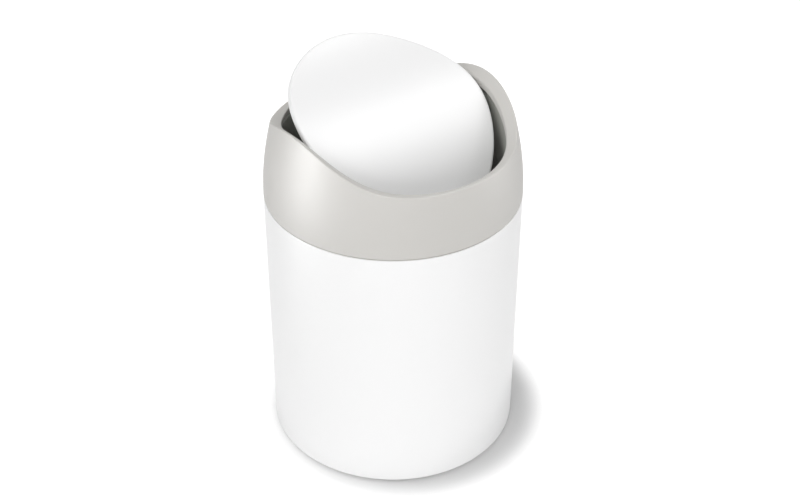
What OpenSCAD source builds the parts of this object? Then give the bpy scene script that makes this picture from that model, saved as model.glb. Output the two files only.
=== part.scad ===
/* [Body] */
// Outside diameter of the steel body
body_d = 122; // [116:1:130]
// Height of the joint line between body and collar above the worktop
seam_h = 132.4; // [120:0.2:150]
// Thickness of the steel sheet
steel_t = 0.6; // [0.4:0.1:0.8]
// Depth of the folded edges at the top and bottom of the body
hem_h = 4; // [3:0.5:6]
// Corner radius of a folded edge
hem_round = 0.35; // [0.2:0.05:0.5]

/* [Base] */
// Height of the steel floor above the lower edge of the body
floor_recess = 5; // [4:0.5:8]
// Sheet thickness of the steel floor
floor_t = 0.5; // [0.4:0.1:0.8]
// Height of the stiffening bead pressed into the floor
bead_h = 1.2; // [0.6:0.1:2]
// Width of the stiffening bead
bead_w = 26; // [16:1:30]
// Distance of the stiffening bead from the floor's edge
bead_margin = 13.3; // [12.5:0.1:16]
// Thickness of the lip that covers the lower folded edge
base_lip_t = 0.5; // [0.4:0.1:1]
// Thickness of the plate that holds the pads
base_plate_t = 2; // [1.6:0.1:3]
// Wall thickness of the upstanding ribs of the ring
base_wall_t = 1.4; // [1:0.1:2]
// Diameter of a rubber pad
pad_d = 9; // [7:0.5:11]
// How far a pad stands below the ring
pad_proud = 0.6; // [0.5:0.1:1.5]
// How deep a pad sits in the ring
pad_seat = 0.8; // [0.5:0.1:1.2]
// Number of rubber pads
pad_count = 4; // [3:1:8]

/* [Collar] */
// Wall thickness of the moulded collar
collar_t = 2; // [1.4:0.1:2.2]
// Height of the rim at front and back above the joint line
rim_low = 29.9; // [27:0.1:34]
// Height of the rim at the two pivots above the joint line
rim_peak = 45.4; // [43:0.1:50]
// How far inside the body's outside the rim begins to run level at front and back
rim_level = 5.6; // [4:0.1:10]
// How far the wall leans in at the low part of the rim
lean_low = 3.4; // [2.8:0.1:4]
// How far the wall leans in at the peaks of the rim
lean_peak = 7.4; // [6.6:0.1:8.2]
// Width of the rim over the two pivots
rim_side_w = 4.4; // [3.6:0.1:5.2]
// Width of the rim at front and back
rim_front_w = 2.1; // [2:0.1:3]
// How far the mouth's edge lies below the rim at the two pivots
dip_peak = 4; // [3:0.1:5]
// How far the mouth's edge lies below the rim at front and back
dip_low = 0; // [0:0.1:1]
// How far inside the mouth's front edge its height begins to run level
mouth_level = 7.7; // [6:0.1:10]
// Depth of the lip that hangs from the mouth's edge
lip_h = 3.2; // [2.4:0.1:3.4]
// Rounding of the rim's outer edge
rim_round = 0.8; // [0.4:0.1:1]
// Rounding of the mouth's edge
lip_round = 0.6; // [0.3:0.1:0.8]

/* [Liner] */
// Wall thickness of the inner ring
liner_t = 1.6; // [1.2:0.1:1.8]
// How far the inner ring stands back from the mouth's edge over the two pivots
liner_step = 1; // [0.6:0.1:1.4]
// Height of the shelf between throat and skirt above the joint line
shelf_h = 7.6; // [5:0.2:12]
// Depth of the skirt inside the body
skirt_depth = 14.4; // [10:0.2:20]
// Number of grip ribs round the skirt
grip_ribs = 12; // [6:1:24]
// Width of a grip rib
grip_w = 2; // [1:0.5:4]

/* [Pivot] */
// Diameter of the steel rod
rod_d = 4; // [3:0.5:4.5]
// Wall thickness of a bearing bush
bush_wall = 1; // [0.6:0.1:1.2]
// Width of a bearing block outside its stop pegs
block_side = 0.7; // [0.5:0.1:1.5]
// Depth of a bearing block below the pivot line
block_drop = 8; // [7:0.5:10]
// Height of the foot flange of a bearing block
block_foot_h = 4; // [3:0.5:5]
// Diameter of the rubber sleeve on a stop peg
bumper_d = 2.6; // [2.2:0.1:3]
// Diameter of a stop peg
peg_d = 1.4; // [1:0.1:1.6]
// Angle through which the lid swings each way from closed
swing = 75; // [45:1:75]

/* [Lid] */
// Gap between lid and mouth over the two pivots
gap_side = 1.3; // [1.2:0.1:2]
// Gap between lid and mouth at front and back
gap_front = 2; // [1.6:0.1:3]
// How far the closed lid's crown lies below the mouth's edge
sink_side = 0.7; // [0.4:0.1:1.4]
// How far the closed lid's ends lie below the mouth's edge
sink_front = 0.1; // [0:0.1:1]
// Sheet thickness of the lid panel
lid_t = 0.8; // [0.5:0.1:0.8]
// Depth of the lid's turned edge
lid_edge_h = 3; // [2:0.1:3.2]
// Rounding of the lid's edge
lid_round = 1.2; // [1:0.1:1.4]
// Angle at which the lid is shown
lid_tilt = 33; // [0:0.5:45]
// Thickness of the moulded plate under the panel
frame_t = 1.4; // [1:0.1:2]
// Wall thickness of the bosses that hold the rod
boss_wall = 1.8; // [1.4:0.1:2]
// Length of a rod boss
boss_len = 9; // [6:0.5:12]
// Thickness of the ribs under the moulded plate
rib_t = 1.4; // [1:0.1:2]
// Distance of the two front-to-back ribs from the middle
rib_x = 14; // [8:1:20]

/* [Counterweight] */
// Length of the steel bar
weight_l = 60; // [40:1:64]
// Width of the steel bar
weight_w = 13; // [8:0.5:15]
// Thickness of the steel bar
weight_t = 6; // [3:0.5:7]
// Wall thickness of the cover
cover_t = 1.4; // [1:0.1:2]
// Width of the cover's screw flange
cover_flange = 5; // [5:0.5:7]
// Thread diameter of a cover screw
screw_d = 2.2; // [2:0.1:2.6]

/* [Hidden] */

fit = 0.05;    // radial clearance of a running fit
seat = 0.1;    // clearance between pieces that seat on each other
free = 0.3;    // clearance between pieces that pass each other
over = 1;      // how far a cutting solid runs past what it cuts

body_r = body_d / 2;
body_z = pad_proud + base_lip_t + seat;
hem_r = body_r - 2 * steel_t;
floor_z = body_z + floor_recess;
flange_r = hem_r - floor_t;
bead_slope = 3;
base_ring_r = flange_r - seat;
pad_ring_r = base_ring_r - base_wall_t - pad_d / 2 - free;
pad_edge = 0.8;
base_ring_w = base_wall_t + free + pad_d + pad_edge;

seam_round = 0.3;
rim_half = body_r - rim_level;
mouth_a = body_r - lean_peak - rim_side_w;
mouth_b = body_r - lean_low - rim_front_w;
mouth_half = mouth_b - mouth_level;
mouth_peak = rim_peak - dip_peak;
mouth_low = rim_low - dip_low;
lean_3 = (lean_peak / pow(rim_peak, 2) - lean_low / pow(rim_low, 2)) / (rim_peak - rim_low);
lean_2 = lean_low / pow(rim_low, 2) - lean_3 * rim_low;
steps = 96;    // sections round the collar

shelf_z = seam_h + shelf_h;
skirt_z = seam_h - skirt_depth;
skirt_r = wall_r(shelf_h + liner_t) - collar_t - 2 * seat;
throat_a = mouth_a + liner_step;
throat_b = wall_r(mouth_low - lip_h) - collar_t - liner_t - 2 * seat;

boss_d = rod_d + 2 * boss_wall;
boss_cover = 3.3;
lid_crown = boss_d / 2 + boss_cover;
pivot_h = mouth_peak - sink_side - lid_crown;
pivot_z = seam_h + pivot_h;
bush_d = rod_d + 2 * bush_wall;
bush_cover = 1.2;
block_crown = bush_d / 2 + bush_cover;
block_top = 2.2;
block_x = mouth_a;
wall_gap = 0.5;
block_t = wall_r(pivot_h + block_crown) - collar_t - wall_gap - block_x;
foot_t = 1.2;
foot_side = 1.5;
lip_relief = min(lip_h, mouth_peak - pivot_h - block_crown - free);
lid_a = mouth_a - gap_side;
lid_b = mouth_b - gap_front;
lid_drop = pivot_h + lid_crown - mouth_low + sink_front;
boss_end = mouth_a - free - seat;
nose_wall = 1.2;
nose_d = rod_d + 2 * nose_wall;
nose_len = boss_end - lid_a + free;
finger_w = 1.6;
finger_t = 0.9;
stop_gap = 0.5;
stop_slack = 0.7;
stop_r = nose_d / 2 + bumper_d / 2 + stop_gap;
stop_angle = swing + asin(finger_w / 2 / stop_r) + asin(bumper_d / 2 / stop_r) + stop_slack;
block_w = 2 * stop_r + peg_d + 2 * block_side;
rod_short = 0.2;
rod_end = block_x + block_t - rod_short;
clip_t = 0.8;
clip_d = 1.4 * rod_d;
clip_groove = 0.5;
clip_x = boss_end - boss_len - seat - clip_t;

lid_steps = 72;    // sections round the lid
plate_top = lid_t + 2 * seat;
plate_under = plate_top + frame_t;
cover_top = -boss_d / 2 - seat;
weight_top = cover_top - seat;
cover_h = weight_t + cover_t + 2 * seat;
cover_w = weight_w + 2 * (cover_t + seat);
cover_l = weight_l + 2 * (cover_t + seat);
screw_inset = 6;
screw_x = cover_l / 2 - screw_inset;
screw_y = cover_w / 2 + cover_flange / 2;
screw_len = 6.5;
post_wall = 1.7;
post_d = screw_d + 2 * post_wall;
head_d = 2 * screw_d;
head_t = 1.3;

// Saddle curve: level from half outwards to front and back, rounded over the pivots
function bell(y, low, peak, half) =
    low + (peak - low) / 2 * (1 + cos(180 * min(abs(y), half) / half));

// Heights of the rim and of the mouth's edge above the joint line
function rim_h(y) = bell(y, rim_low, rim_peak, rim_half);
function mouth_h(y) = bell(y, mouth_low, mouth_peak, mouth_half);

// Outside radius of the collar at height h above the joint line
function wall_r(h) = body_r - lean_2 * h * h - lean_3 * h * h * h;

// Radius of the rim at azimuth a, where the saddle curve meets the leaning wall
function rim_r(a, r = body_r, turns = 6) =
    turns == 0 ? r : rim_r(a, wall_r(rim_h(r * sin(a))), turns - 1);

// Radius at azimuth a of an ellipse with half widths p and q
function oval_r(a, p, q) = 1 / sqrt(pow(cos(a) / p, 2) + pow(sin(a) / q, 2));

function oval(p, q, n) = [for (i = [0 : n - 1]) [p * cos(360 * i / n), q * sin(360 * i / n)]];

function curve(p, q, r, t) = (1 - t) * (1 - t) * p + 2 * t * (1 - t) * q + t * t * r;

// Depth of the lip, which is cut away above the bearing blocks
function lip_depth(y) =
    let (t = max(0, min(1, (abs(y) - block_crown) / 4)))
    lip_relief + (lip_h - lip_relief) * t;

// Outline of the collar's wall and rim at azimuth a, as radius and height above the joint line
function collar_section(a) =
    let (rc = rim_r(a),
         rim = [rc, rim_h(rc * sin(a))],
         rm = oval_r(a, mouth_a, mouth_b),
         edge = [rm, mouth_h(rm * sin(a))],
         land = norm(edge - rim),
         along = (edge - rim) / land,
         f = min(rim_round, 0.5 * land),
         g = min(lip_round, 0.3 * land),
         top = rim[1] - f,
         under = edge[1] - lip_depth(rm * sin(a)))
    concat(
        [[body_r - seam_round, 0], [body_r - 0.3 * seam_round, 0.3 * seam_round]],
        [for (k = [0 : 5]) let (h = seam_round + (top - seam_round) * k / 5) [wall_r(h), h]],
        [for (k = [1 : 5]) curve([wall_r(top), top], rim, rim + f * along, k / 5)],
        [for (k = [0 : 3]) curve(edge - g * along, edge, edge - [0, g], k / 3)],
        [[rm, under], [wall_r(under) - collar_t, under]],
        [for (k = [1 : 3]) let (h = under * (1 - k / 3)) [wall_r(h) - collar_t, h]]);

// Closed ring through a list of closed outlines
module ring_of(outlines) {
    n = len(outlines);
    m = len(outlines[0]);
    points = [for (outline = outlines) each outline];
    faces = [for (i = [0 : n - 1]) for (j = [0 : m - 1])
        let (a = i * m + j, b = i * m + (j + 1) % m,
             c = (i + 1) % n * m + (j + 1) % m, d = (i + 1) % n * m + j)
        each [[a, b, c], [a, c, d]]];
    polyhedron(points, faces);
}

// Height of the lid's top above the pivot line
function lid_h(y) = bell(y, lid_crown - lid_drop, lid_crown, rim_half);

// Point of the lid at azimuth a, share s of the way out, set in by inset and down by down
function lid_point(a, s, inset, down) =
    let (x = s * (lid_a - inset) * cos(a), y = s * (lid_b - inset) * sin(a))
    [x, y, lid_h(y) - down];

// Depth of the turned edge, relieved where the rod's boss passes under it
function edge_depth(y) =
    let (t = max(0, min(1, (abs(y) - boss_d / 2 - free) / 4)), low = min(lid_edge_h, boss_cover - free))
    low + (lid_edge_h - low) * t;

// Path from the crown of the lid over its edge and back along the underside
function lid_path(a) =
    let (r = lid_round, deep = edge_depth(lid_b * sin(a)))
    concat(
        [for (s = [0.15, 0.3, 0.45, 0.6, 0.75, 0.9]) lid_point(a, s, 0, 0)],
        [for (k = [0 : 3]) lid_point(a, 1, r * (1 - sin(30 * k)), r * (1 - cos(30 * k)))],
        [lid_point(a, 1, 0, deep), lid_point(a, 1, lid_t, deep)],
        [lid_point(a, 1, lid_t, r), lid_point(a, 1, r, lid_t)],
        [for (s = [0.9, 0.75, 0.6, 0.45, 0.3, 0.15]) lid_point(a, s, 0, lid_t)]);

module body_shell() {
    top = seam_h;
    color("white") rotate_extrude($fn = 128) polygon(concat(
        [for (k = [0 : 3]) [body_r - hem_round * (1 - sin(30 * k)), body_z + hem_round * (1 - cos(30 * k))]],
        [for (k = [0 : 3]) [body_r - hem_round * (1 - cos(30 * k)), top - hem_round * (1 - sin(30 * k))]],
        [[hem_r, top], [hem_r, top - hem_h], [body_r - steel_t, top - hem_h]],
        [[body_r - steel_t, body_z + hem_h], [hem_r, body_z + hem_h], [hem_r, body_z]]));
}

module base_pan() {
    bead_out = flange_r - bead_margin;
    bead_in = bead_out - bead_w;
    bead = [[bead_in, 0], [bead_in + bead_slope, bead_h], [bead_out - bead_slope, bead_h], [bead_out, 0]];
    color("silver") rotate_extrude($fn = 128) polygon(concat(
        [[0, floor_z]], [for (p = bead) [p[0], floor_z + p[1]]],
        [[flange_r, floor_z], [flange_r, body_z + seat], [hem_r, body_z + seat]],
        [[hem_r, floor_z + floor_t]],
        [for (i = [3 : -1 : 0]) [bead[i][0], floor_z + floor_t + bead[i][1]]],
        [[0, floor_z + floor_t]]));
}

module pad_places() {
    for (i = [0 : pad_count - 1])
        rotate([0, 0, 360 * (i + 0.5) / pad_count]) translate([pad_ring_r, 0, 0]) children();
}

module base_ring() {
    inner_r = base_ring_r - base_ring_w;
    wall_top = floor_z - seat;
    plate_top = pad_proud + base_plate_t;
    color("gainsboro") difference() {
        rotate_extrude($fn = 128) polygon([
            [inner_r, pad_proud], [body_r - 3 * hem_round, pad_proud],
            [body_r - 2 * hem_round, pad_proud + base_lip_t], [base_ring_r, pad_proud + base_lip_t],
            [base_ring_r, wall_top], [base_ring_r - base_wall_t, wall_top],
            [base_ring_r - base_wall_t, plate_top], [inner_r + base_wall_t, plate_top],
            [inner_r + base_wall_t, wall_top], [inner_r, wall_top]]);
        pad_places() translate([0, 0, pad_proud - over])
            cylinder(d = pad_d + 2 * seat, h = over + pad_seat, $fn = 48);
    }
}

module foot_pads() {
    color("dimgray") pad_places() cylinder(d = pad_d, h = pad_proud + pad_seat, $fn = 48);
}

module collar_shell() {
    color("lightgray") translate([0, 0, seam_h]) ring_of([for (i = [0 : steps - 1])
        let (a = 360 * i / steps)
        [for (p = collar_section(a)) [p[0] * cos(a), p[0] * sin(a), p[1]]]]);
}

// Height above the joint line at which the leaning wall has come in to radius r
function lean_h(r, low = 0, high = rim_peak, turns = 20) =
    let (h = (low + high) / 2)
    turns == 0 ? h : wall_r(h) > r ? lean_h(r, h, high, turns - 1) : lean_h(r, low, h, turns - 1);

// Top edge of the inner ring: under the lip, and no higher than the wall leaves it room
function throat_top(y) =
    let (share = min(1, abs(y) / throat_b),
         r = norm([throat_a * sqrt(1 - share * share), throat_b * share]))
    min(mouth_h(y) - lip_h, lean_h(r + liner_t / 2 + seat + collar_t)) - seat;

// Everything above the inner ring's top edge
module above_throat() {
    n = 48;
    top = rim_peak + over;
    reach = body_r + over;
    translate([-reach, 0, seam_h]) rotate([90, 0, 90]) linear_extrude(2 * reach) polygon(concat(
        [[-reach, top], [-reach, throat_top(reach)]],
        [for (i = [-n / 2 : n / 2]) let (y = 2 * throat_b * i / n) [y, throat_top(y)]],
        [[reach, throat_top(reach)], [reach, top]]));
}

// Space inside the collar's wall
module inside_wall() {
    translate([0, 0, seam_h]) rotate_extrude($fn = 128) polygon(concat(
        [[0, -skirt_depth], [skirt_r, -skirt_depth]],
        [for (k = [0 : 12]) let (h = shelf_h + (rim_peak - shelf_h) * k / 12)
            [wall_r(h) - collar_t - 2 * seat, h]],
        [[0, rim_peak]]));
}

module collar_liner() {
    slot_z = pivot_z - block_drop;
    color("dimgray") difference() {
        union() {
            intersection() {
                translate([0, 0, shelf_z]) linear_extrude(rim_peak - shelf_h)
                    polygon(oval(throat_a + liner_t, throat_b + liner_t, steps));
                inside_wall();
            }
            translate([0, 0, skirt_z]) cylinder(r = skirt_r, h = shelf_z + liner_t - skirt_z, $fn = 128);
            for (i = [0 : grip_ribs - 1])
                rotate([0, 0, 360 * (i + 0.5) / grip_ribs])
                    translate([skirt_r - liner_t / 2, -grip_w / 2, skirt_z + over])
                        cube([hem_r - skirt_r + liner_t / 2 - seat, grip_w, skirt_depth - over - seat]);
        }
        above_throat();
        translate([0, 0, shelf_z - over]) linear_extrude(rim_peak + over)
            polygon(oval(throat_a, throat_b, steps));
        translate([0, 0, skirt_z - over])
            cylinder(r = skirt_r - liner_t, h = shelf_z - skirt_z + over, $fn = 128);
        translate([-body_r, -block_w / 2 - seat, slot_z - seat])
            cube([body_d, block_w + 2 * seat, rim_peak]);
    }
}

// Stop peg places of the right bearing, seen from the pivot line
module stop_places() {
    for (side = [-1, 1])
        rotate([side * stop_angle, 0, 0]) translate([0, 0, -stop_r]) rotate([0, 90, 0]) children();
}

module bearing() {
    foot_w = block_w + 2 * foot_side;
    foot_x = mouth_a + liner_step + liner_t + seat;
    difference() {
        union() {
            translate([block_x, -block_w / 2, -block_drop]) cube([block_t, block_w, block_drop + block_top]);
            translate([block_x, 0, 0]) rotate([0, 90, 0]) cylinder(r = block_crown, h = block_t, $fn = 64);
            translate([block_x, -block_w / 2, -block_drop])
                cube([foot_x + foot_t - block_x, block_w, block_foot_h]);
            translate([foot_x, -foot_w / 2, -block_drop]) cube([foot_t, foot_w, block_foot_h]);
            translate([boss_end - finger_t + seat, 0, 0]) stop_places()
                cylinder(d = peg_d, h = block_x - boss_end + finger_t, $fn = 32);
        }
        translate([block_x - over, 0, 0]) rotate([0, 90, 0])
            cylinder(d = bush_d, h = block_t + 2 * over, $fn = 64);
    }
}

module bush() {
    translate([block_x, 0, 0]) rotate([0, 90, 0]) difference() {
        cylinder(d = bush_d, h = block_t, $fn = 64);
        translate([0, 0, -over]) cylinder(d = rod_d + 2 * fit, h = block_t + 2 * over, $fn = 64);
    }
}

module bumpers() {
    length = block_x - boss_end + finger_t - 2 * seat;
    translate([boss_end - finger_t + 2 * seat, 0, 0]) stop_places() difference() {
        cylinder(d = bumper_d, h = length, $fn = 32);
        translate([0, 0, -over]) cylinder(d = peg_d, h = length + 2 * over, $fn = 32);
    }
}

// Right-hand piece as drawn, or its mirror image on the left
module on_collar(side) {
    translate([0, 0, pivot_z]) mirror([side < 0 ? 1 : 0, 0, 0]) children();
}

module bearing_left() { color("gray") on_collar(-1) bearing(); }
module bearing_right() { color("gray") on_collar(1) bearing(); }
module bush_left() { color("ivory") on_collar(-1) bush(); }
module bush_right() { color("ivory") on_collar(1) bush(); }
module bumpers_left() { color("darkslategray") on_collar(-1) bumpers(); }
module bumpers_right() { color("darkslategray") on_collar(1) bumpers(); }

// Place of the lid, drawn level about its pivot line and shown tilted
module on_lid() {
    translate([0, 0, pivot_z]) rotate([lid_tilt, 0, 0]) children();
}

module lid_panel() {
    paths = [for (i = [0 : lid_steps - 1]) lid_path(360 * i / lid_steps)];
    m = len(paths[0]);
    last = lid_steps * m;
    points = concat([for (path = paths) each path], [lid_point(0, 0, 0, 0), lid_point(0, 0, 0, lid_t)]);
    faces = [for (i = [0 : lid_steps - 1]) let (n = (i + 1) % lid_steps) each concat(
        [[last, n * m, i * m], [last + 1, i * m + m - 1, n * m + m - 1]],
        [for (j = [0 : m - 2]) [i * m + j, n * m + j, n * m + j + 1]],
        [for (j = [0 : m - 2]) [i * m + j, n * m + j + 1, i * m + j + 1]])];
    color("white") on_lid() polyhedron(points, faces);
}

// Band that follows the lid, from depth top to depth bottom below its outside
module lid_band(top, bottom) {
    n = 24;
    ys = [for (i = [-n / 2 : n / 2]) 2 * lid_b * i / n];
    translate([-lid_a, 0, 0]) rotate([90, 0, 90]) linear_extrude(2 * lid_a) polygon(concat(
        [for (y = ys) [y, lid_h(y) - top]],
        [for (i = [n : -1 : 0]) [ys[i], lid_h(ys[i]) - bottom]]));
}

// Upright oval prism, set in from the lid's edge
module lid_prism(inset) {
    translate([0, 0, -lid_b]) linear_extrude(2 * lid_b)
        polygon(oval(lid_a - inset, lid_b - inset, lid_steps));
}

module screw_places() {
    for (x = [-screw_x, screw_x], y = [-screw_y, screw_y]) translate([x, y, 0]) children();
}

// Ribs, posts and bosses that stand under the moulded plate
module frame_ribs() {
    rim_in = lid_t + 4 * seat;
    intersection() {
        lid_band(plate_top, lid_edge_h - free);
        difference() {
            lid_prism(rim_in);
            lid_prism(rim_in + rib_t);
        }
    }
    intersection() {
        lid_band(plate_top, lid_b);
        lid_prism(rim_in);
        union() {
            for (x = [-rib_x, rib_x])
                intersection() {
                    lid_band(plate_top, plate_under + 2 * rib_t);
                    translate([x - rib_t / 2, -lid_b, -lid_b]) cube([rib_t, 2 * lid_b, 2 * lid_b]);
                }
            for (y = [-1, 1])
                translate([-lid_a, y * (clip_d / 2 + free + rib_t / 2) - rib_t / 2, 0])
                    cube([2 * lid_a, rib_t, lid_crown]);
            for (side = [0, 1])
                mirror([side, 0, 0]) translate([boss_end - boss_len, -boss_d / 2, 0])
                    cube([boss_len, boss_d, lid_crown]);
            screw_places() translate([0, 0, -boss_d / 2])
                cylinder(d = post_d, h = lid_crown + boss_d / 2, $fn = 32);
        }
    }
}

// Stop finger and nose at the right end of the frame
module frame_end() {
    translate([boss_end - boss_len, 0, 0]) rotate([0, 90, 0])
        cylinder(d = boss_d, h = boss_len - nose_len, $fn = 64);
    translate([boss_end - nose_len - over, 0, 0]) rotate([0, 90, 0])
        cylinder(d = nose_d, h = nose_len + over, $fn = 64);
    translate([boss_end - finger_t, -finger_w / 2, -stop_r - bumper_d / 2])
        cube([finger_t, finger_w, stop_r + bumper_d / 2 - rod_d / 2 - fit]);
}

module lid_frame() {
    mid_len = 2 * rib_t;
    color("whitesmoke") on_lid() difference() {
        union() {
            intersection() {
                lid_band(plate_top, plate_under);
                lid_prism(lid_round + seat);
            }
            frame_ribs();
            frame_end();
            mirror([1, 0, 0]) frame_end();
            for (x = [-rib_x, rib_x])
                translate([x - mid_len / 2, 0, 0]) rotate([0, 90, 0])
                    cylinder(d = boss_d, h = mid_len, $fn = 64);
        }
        translate([-body_r, 0, 0]) rotate([0, 90, 0]) cylinder(d = rod_d + 2 * fit, h = body_d, $fn = 64);
        screw_places() translate([0, 0, -boss_d / 2 - over])
            cylinder(d = screw_d + 2 * fit, h = screw_len - cover_t + over, $fn = 32);
    }
}

module pivot_rod() {
    r = rod_d / 2;
    c = rod_d / 10;
    half = [[r, clip_x + clip_t + fit], [r, rod_end - c], [r - c, rod_end]];
    waist = [[r, clip_x - fit], [r - clip_groove, clip_x - fit], [r - clip_groove, clip_x + clip_t + fit]];
    side = concat(waist, half);
    color("silver") on_lid() rotate([0, 90, 0]) rotate_extrude($fn = 64) polygon(concat(
        [[0, -rod_end]], [for (i = [len(side) - 1 : -1 : 0]) [side[i][0], -side[i][1]]],
        side, [[0, rod_end]]));
}

// Open retaining ring in the rod's right groove
module rod_clip() {
    bore = rod_d - 2 * clip_groove + 2 * fit;
    translate([clip_x, 0, 0]) rotate([0, 90, 0]) difference() {
        cylinder(d = clip_d, h = clip_t, $fn = 64);
        translate([0, 0, -over]) cylinder(d = bore, h = clip_t + 2 * over, $fn = 64);
        translate([0, -bore * 0.45, -over]) cube([clip_d, bore * 0.9, clip_t + 2 * over]);
    }
}

module rod_clip_left() { color("dimgray") on_lid() mirror([1, 0, 0]) rod_clip(); }
module rod_clip_right() { color("dimgray") on_lid() rod_clip(); }

module counterweight() {
    color("slategray") on_lid() translate([-weight_l / 2, -weight_w / 2, weight_top - weight_t])
        cube([weight_l, weight_w, weight_t]);
}

module weight_cover() {
    tab_l = 2 * post_d;
    color("whitesmoke") on_lid() difference() {
        union() {
            translate([-cover_l / 2, -cover_w / 2, cover_top - cover_h]) cube([cover_l, cover_w, cover_h]);
            for (x = [-screw_x, screw_x])
                translate([x - tab_l / 2, -screw_y - cover_flange / 2, cover_top - cover_t])
                    cube([tab_l, 2 * screw_y + cover_flange, cover_t]);
        }
        translate([-weight_l / 2 - seat, -weight_w / 2 - seat, cover_top - cover_h + cover_t])
            cube([weight_l + 2 * seat, weight_w + 2 * seat, cover_h]);
        screw_places() translate([0, 0, cover_top - cover_t - over])
            cylinder(d = screw_d + 2 * seat, h = cover_t + 2 * over, $fn = 32);
    }
}

module cover_screws() {
    r = screw_d / 2;
    color("silver") on_lid() screw_places() translate([0, 0, cover_top - cover_t])
        rotate_extrude($fn = 32) polygon([
            [0, -head_t], [head_d / 4, -head_t], [head_d / 2, -head_t / 2], [head_d / 2, 0],
            [r, 0], [r, screw_len - r], [0, screw_len - seat]]);
}

body_shell();
base_pan();
base_ring();
foot_pads();
collar_shell();
collar_liner();
bearing_left();
bearing_right();
bush_left();
bush_right();
bumpers_left();
bumpers_right();
lid_panel();
lid_frame();
pivot_rod();
rod_clip_left();
rod_clip_right();
counterweight();
weight_cover();
cover_screws();
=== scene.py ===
import math

import bmesh
import bpy
from mathutils import Euler, Matrix, Vector


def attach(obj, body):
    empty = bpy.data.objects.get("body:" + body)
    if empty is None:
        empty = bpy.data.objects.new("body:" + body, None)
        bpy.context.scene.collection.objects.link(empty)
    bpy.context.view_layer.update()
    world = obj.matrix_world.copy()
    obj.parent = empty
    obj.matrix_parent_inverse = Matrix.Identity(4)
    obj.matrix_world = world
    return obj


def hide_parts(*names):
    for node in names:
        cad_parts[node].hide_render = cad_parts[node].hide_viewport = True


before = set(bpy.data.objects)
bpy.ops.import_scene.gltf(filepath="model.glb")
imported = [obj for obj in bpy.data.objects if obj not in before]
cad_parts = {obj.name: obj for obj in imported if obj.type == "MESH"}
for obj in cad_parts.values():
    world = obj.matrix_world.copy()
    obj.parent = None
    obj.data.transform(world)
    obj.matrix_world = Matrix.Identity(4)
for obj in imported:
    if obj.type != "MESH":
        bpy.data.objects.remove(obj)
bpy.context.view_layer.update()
mm = 0.001
sharpAngle = math.radians(35)  # edges that turn by more stay sharp

# sizes are in millimetres, as in the part's source
can = dict(radius=61, seam=132.4, foot=1.2, sheet=0.6, hem=4, hemRound=0.35, hemEnd=0.2, steps=256)
rim = dict(low=29.9, peak=45.4, half=55.4, leanLow=3.4, leanPeak=7.4, wall=2, round=0.8,
           roundMost=0.5, steps=288)
# fine groove that parts the collar from the body
groove = dict(foot=0.35, low=0.12, deep=0.9, top=0.55, soft=0.12)
mouth = dict(side=49.2, front=55.5, low=29.9, peak=41.4, half=47.8, lip=3.2, round=0.6,
             roundMost=0.3)
lid = dict(side=47.9, front=53.5, crown=7.1, drop=10.9, half=55.4, sheet=0.8, edge=3, round=1.2,
           hemRound=0.2, rings=24, steps=256, tilt=33, pivot=166)


def bell(y, low, peak, half):
    return low + (peak - low) / 2 * (1 + math.cos(math.pi * min(abs(y), half) / half))


def rimTop(y):
    return bell(y, rim["low"], rim["peak"], rim["half"])


def mouthTop(y):
    return bell(y, mouth["low"], mouth["peak"], mouth["half"])


def lidTop(y):
    return bell(y, lid["crown"] - lid["drop"], lid["crown"], lid["half"])


def wallRadius(h):
    low, peak = rim["low"], rim["peak"]
    cubic = (rim["leanPeak"] / peak ** 2 - rim["leanLow"] / low ** 2) / (peak - low)
    square = rim["leanLow"] / low ** 2 - cubic * low
    return can["radius"] - square * h * h - cubic * h ** 3


def rimRadius(a):
    r = can["radius"]
    for _ in range(8):  # the radius and the height settle on each other
        r = wallRadius(rimTop(r * math.sin(a)))
    return r


def ovalRadius(a, p, q):
    return 1 / math.hypot(math.cos(a) / p, math.sin(a) / q)


def filleted(points, segments=5, closed=True):
    # rounds each corner (x, y, radius) of an outline
    made = []
    for k, (x, y, radius) in enumerate(points):
        here = Vector((x, y))
        atEnd = not closed and k in (0, len(points) - 1)
        if atEnd or not radius:
            made.append(here)
            continue
        back = (Vector(points[k - 1][:2]) - here).normalized()
        on = (Vector(points[(k + 1) % len(points)][:2]) - here).normalized()
        half = back.angle(on) / 2
        centre = here + (back + on).normalized() * (radius / math.sin(half))
        first = here + back * (radius / math.tan(half)) - centre
        last = here + on * (radius / math.tan(half)) - centre
        made += [centre + first.slerp(last, s / segments) * radius for s in range(segments + 1)]
    return made


def smooth(data):
    data.shade_smooth()
    data.set_sharp_from_angle(angle=sharpAngle)


def finished(name, mesh):
    data = bpy.data.meshes.new(name)
    mesh.to_mesh(data)
    mesh.free()
    smooth(data)
    piece = bpy.data.objects.new(name, data)
    bpy.context.scene.collection.objects.link(piece)
    return piece


def spun(profile, steps, closed=True):
    # turns a profile of (radius, height) round the Z axis; a vertex keeps the number of its row
    mesh = bmesh.new()
    row = mesh.verts.layers.int.new("row")
    line = [mesh.verts.new((p[0] * mm, 0, p[1] * mm)) for p in profile]
    for k, vert in enumerate(line):
        vert[row] = k
    pairs = list(zip(line, line[1:])) + ([(line[-1], line[0])] if closed else [])
    edges = [mesh.edges.new(pair) for pair in pairs]
    bmesh.ops.spin(mesh, geom=line + edges, cent=(0, 0, 0), axis=(0, 0, 1), dvec=(0, 0, 0),
                   angle=2 * math.pi, steps=steps, use_merge=True, use_duplicate=False)
    return mesh


def spunRows(count, steps, closed=True):
    # rows that wait for their places: each stands off the axis and clear of the others
    return spun([(50, k * 0.5) for k in range(count)], steps, closed)


def closeUp(mesh, dist=1e-7):
    # merges vertices this many metres apart and turns the faces outward
    bmesh.ops.remove_doubles(mesh, verts=mesh.verts, dist=dist)
    bmesh.ops.recalc_face_normals(mesh, faces=mesh.faces)


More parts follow.
